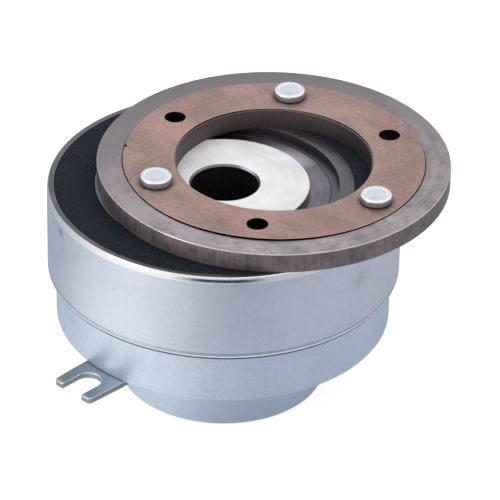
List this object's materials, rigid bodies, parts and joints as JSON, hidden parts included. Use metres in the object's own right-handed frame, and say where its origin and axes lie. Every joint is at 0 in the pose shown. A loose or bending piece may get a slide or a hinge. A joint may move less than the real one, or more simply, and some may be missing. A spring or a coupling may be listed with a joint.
{
  "type": "electromagnetic clutch brake",
  "caption": "Single-plate electromagnetic clutch brake: rotor drum on a bearing-mounted coil housing with forked torque arm, and a riveted armature disc with leaf spring lying on the rotor.",
  "frame": {"origin": "on the shaft axis, at the rear end of the hub's bore, in the plane that the bearing boss stands on", "axes": "+Z along the shaft from the boss to the friction face, -Y along the forked torque arm"},
  "size_m": [0.1075, 0.1211, 0.0711],
  "materials": {
    "zinc_plated_drum": "zinc plate, bluish, soft gloss",
    "zinc_plated_shell": "zinc plate, bluish, fine turning marks",
    "zinc_plated_boss": "zinc plate, turned",
    "zinc_plated_arm": "zinc plate, stamped sheet",
    "zinc_plated_rivet": "bright zinc plate",
    "bright_hub_steel": "bright plated face, cloudy",
    "ground_disc_steel": "ground grey face, brown-grey side",
    "bronzed_spring_steel": "bronze-brown tempered steel, matt",
    "friction_material": "near-black moulded friction material",
    "bearing_steel": "ground bearing steel",
    "shield_steel": "pressed sheet",
    "dark_spring_steel": "blackened spring steel",
    "cage_plastic": "brown moulded plastic",
    "bobbin_plastic": "moulded plastic",
    "copper_wire": "enamelled copper wire",
    "potting_resin": "black potting resin",
    "black_rubber": "matt rubber"
  },
  "bodies": {
    "field": {"field_shell": "zinc_plated_shell", "bearing_housing": "zinc_plated_boss", "torque_arm": "zinc_plated_arm", "lead_grommet": "black_rubber", "coil_bobbin": "bobbin_plastic", "coil_winding": "copper_wire", "coil_resin": "potting_resin", "bearing_outer_ring": "bearing_steel", "bearing_shields": "shield_steel", "housing_circlip": "dark_spring_steel"},
    "rotor": {"rotor_drum": "zinc_plated_drum", "friction_lining": "friction_material", "rotor_hub": "bright_hub_steel", "bearing_inner_ring": "bearing_steel", "hub_circlip": "dark_spring_steel"},
    "ball_cage": {"bearing_balls": "bearing_steel", "bearing_cage": "cage_plastic"},
    "leaf_spring": {"spring_plate": "bronzed_spring_steel"},
    "armature": {"armature_disc": "ground_disc_steel", "armature_rivets": "zinc_plated_rivet"}
  },
  "joints": [
    {"name": "rotor_spin", "type": "hinge", "parent": "field", "child": "rotor", "pos_m": [0, 0, 0.0625], "axis": [0, 0, 1], "continuous": true},
    {"name": "cage_spin", "type": "hinge", "parent": "field", "child": "ball_cage", "pos_m": [0, 0, 0.0104], "axis": [0, 0, 1], "continuous": true},
    {"name": "armature_spin", "type": "hinge", "parent": "field", "child": "leaf_spring", "pos_m": [0.00775, 0.01166, 0.0688], "axis": [0, 0, 1], "continuous": true},
    {"name": "armature_release", "type": "slide", "parent": "leaf_spring", "child": "armature", "axis": [0, 0, 1], "range_m": [0, 0.0003], "deforming": ["spring_plate"]}
  ],
  "couplings": [
    {"joint": "cage_spin", "follows": "rotor_spin", "ratio": 0.4125}
  ]
}
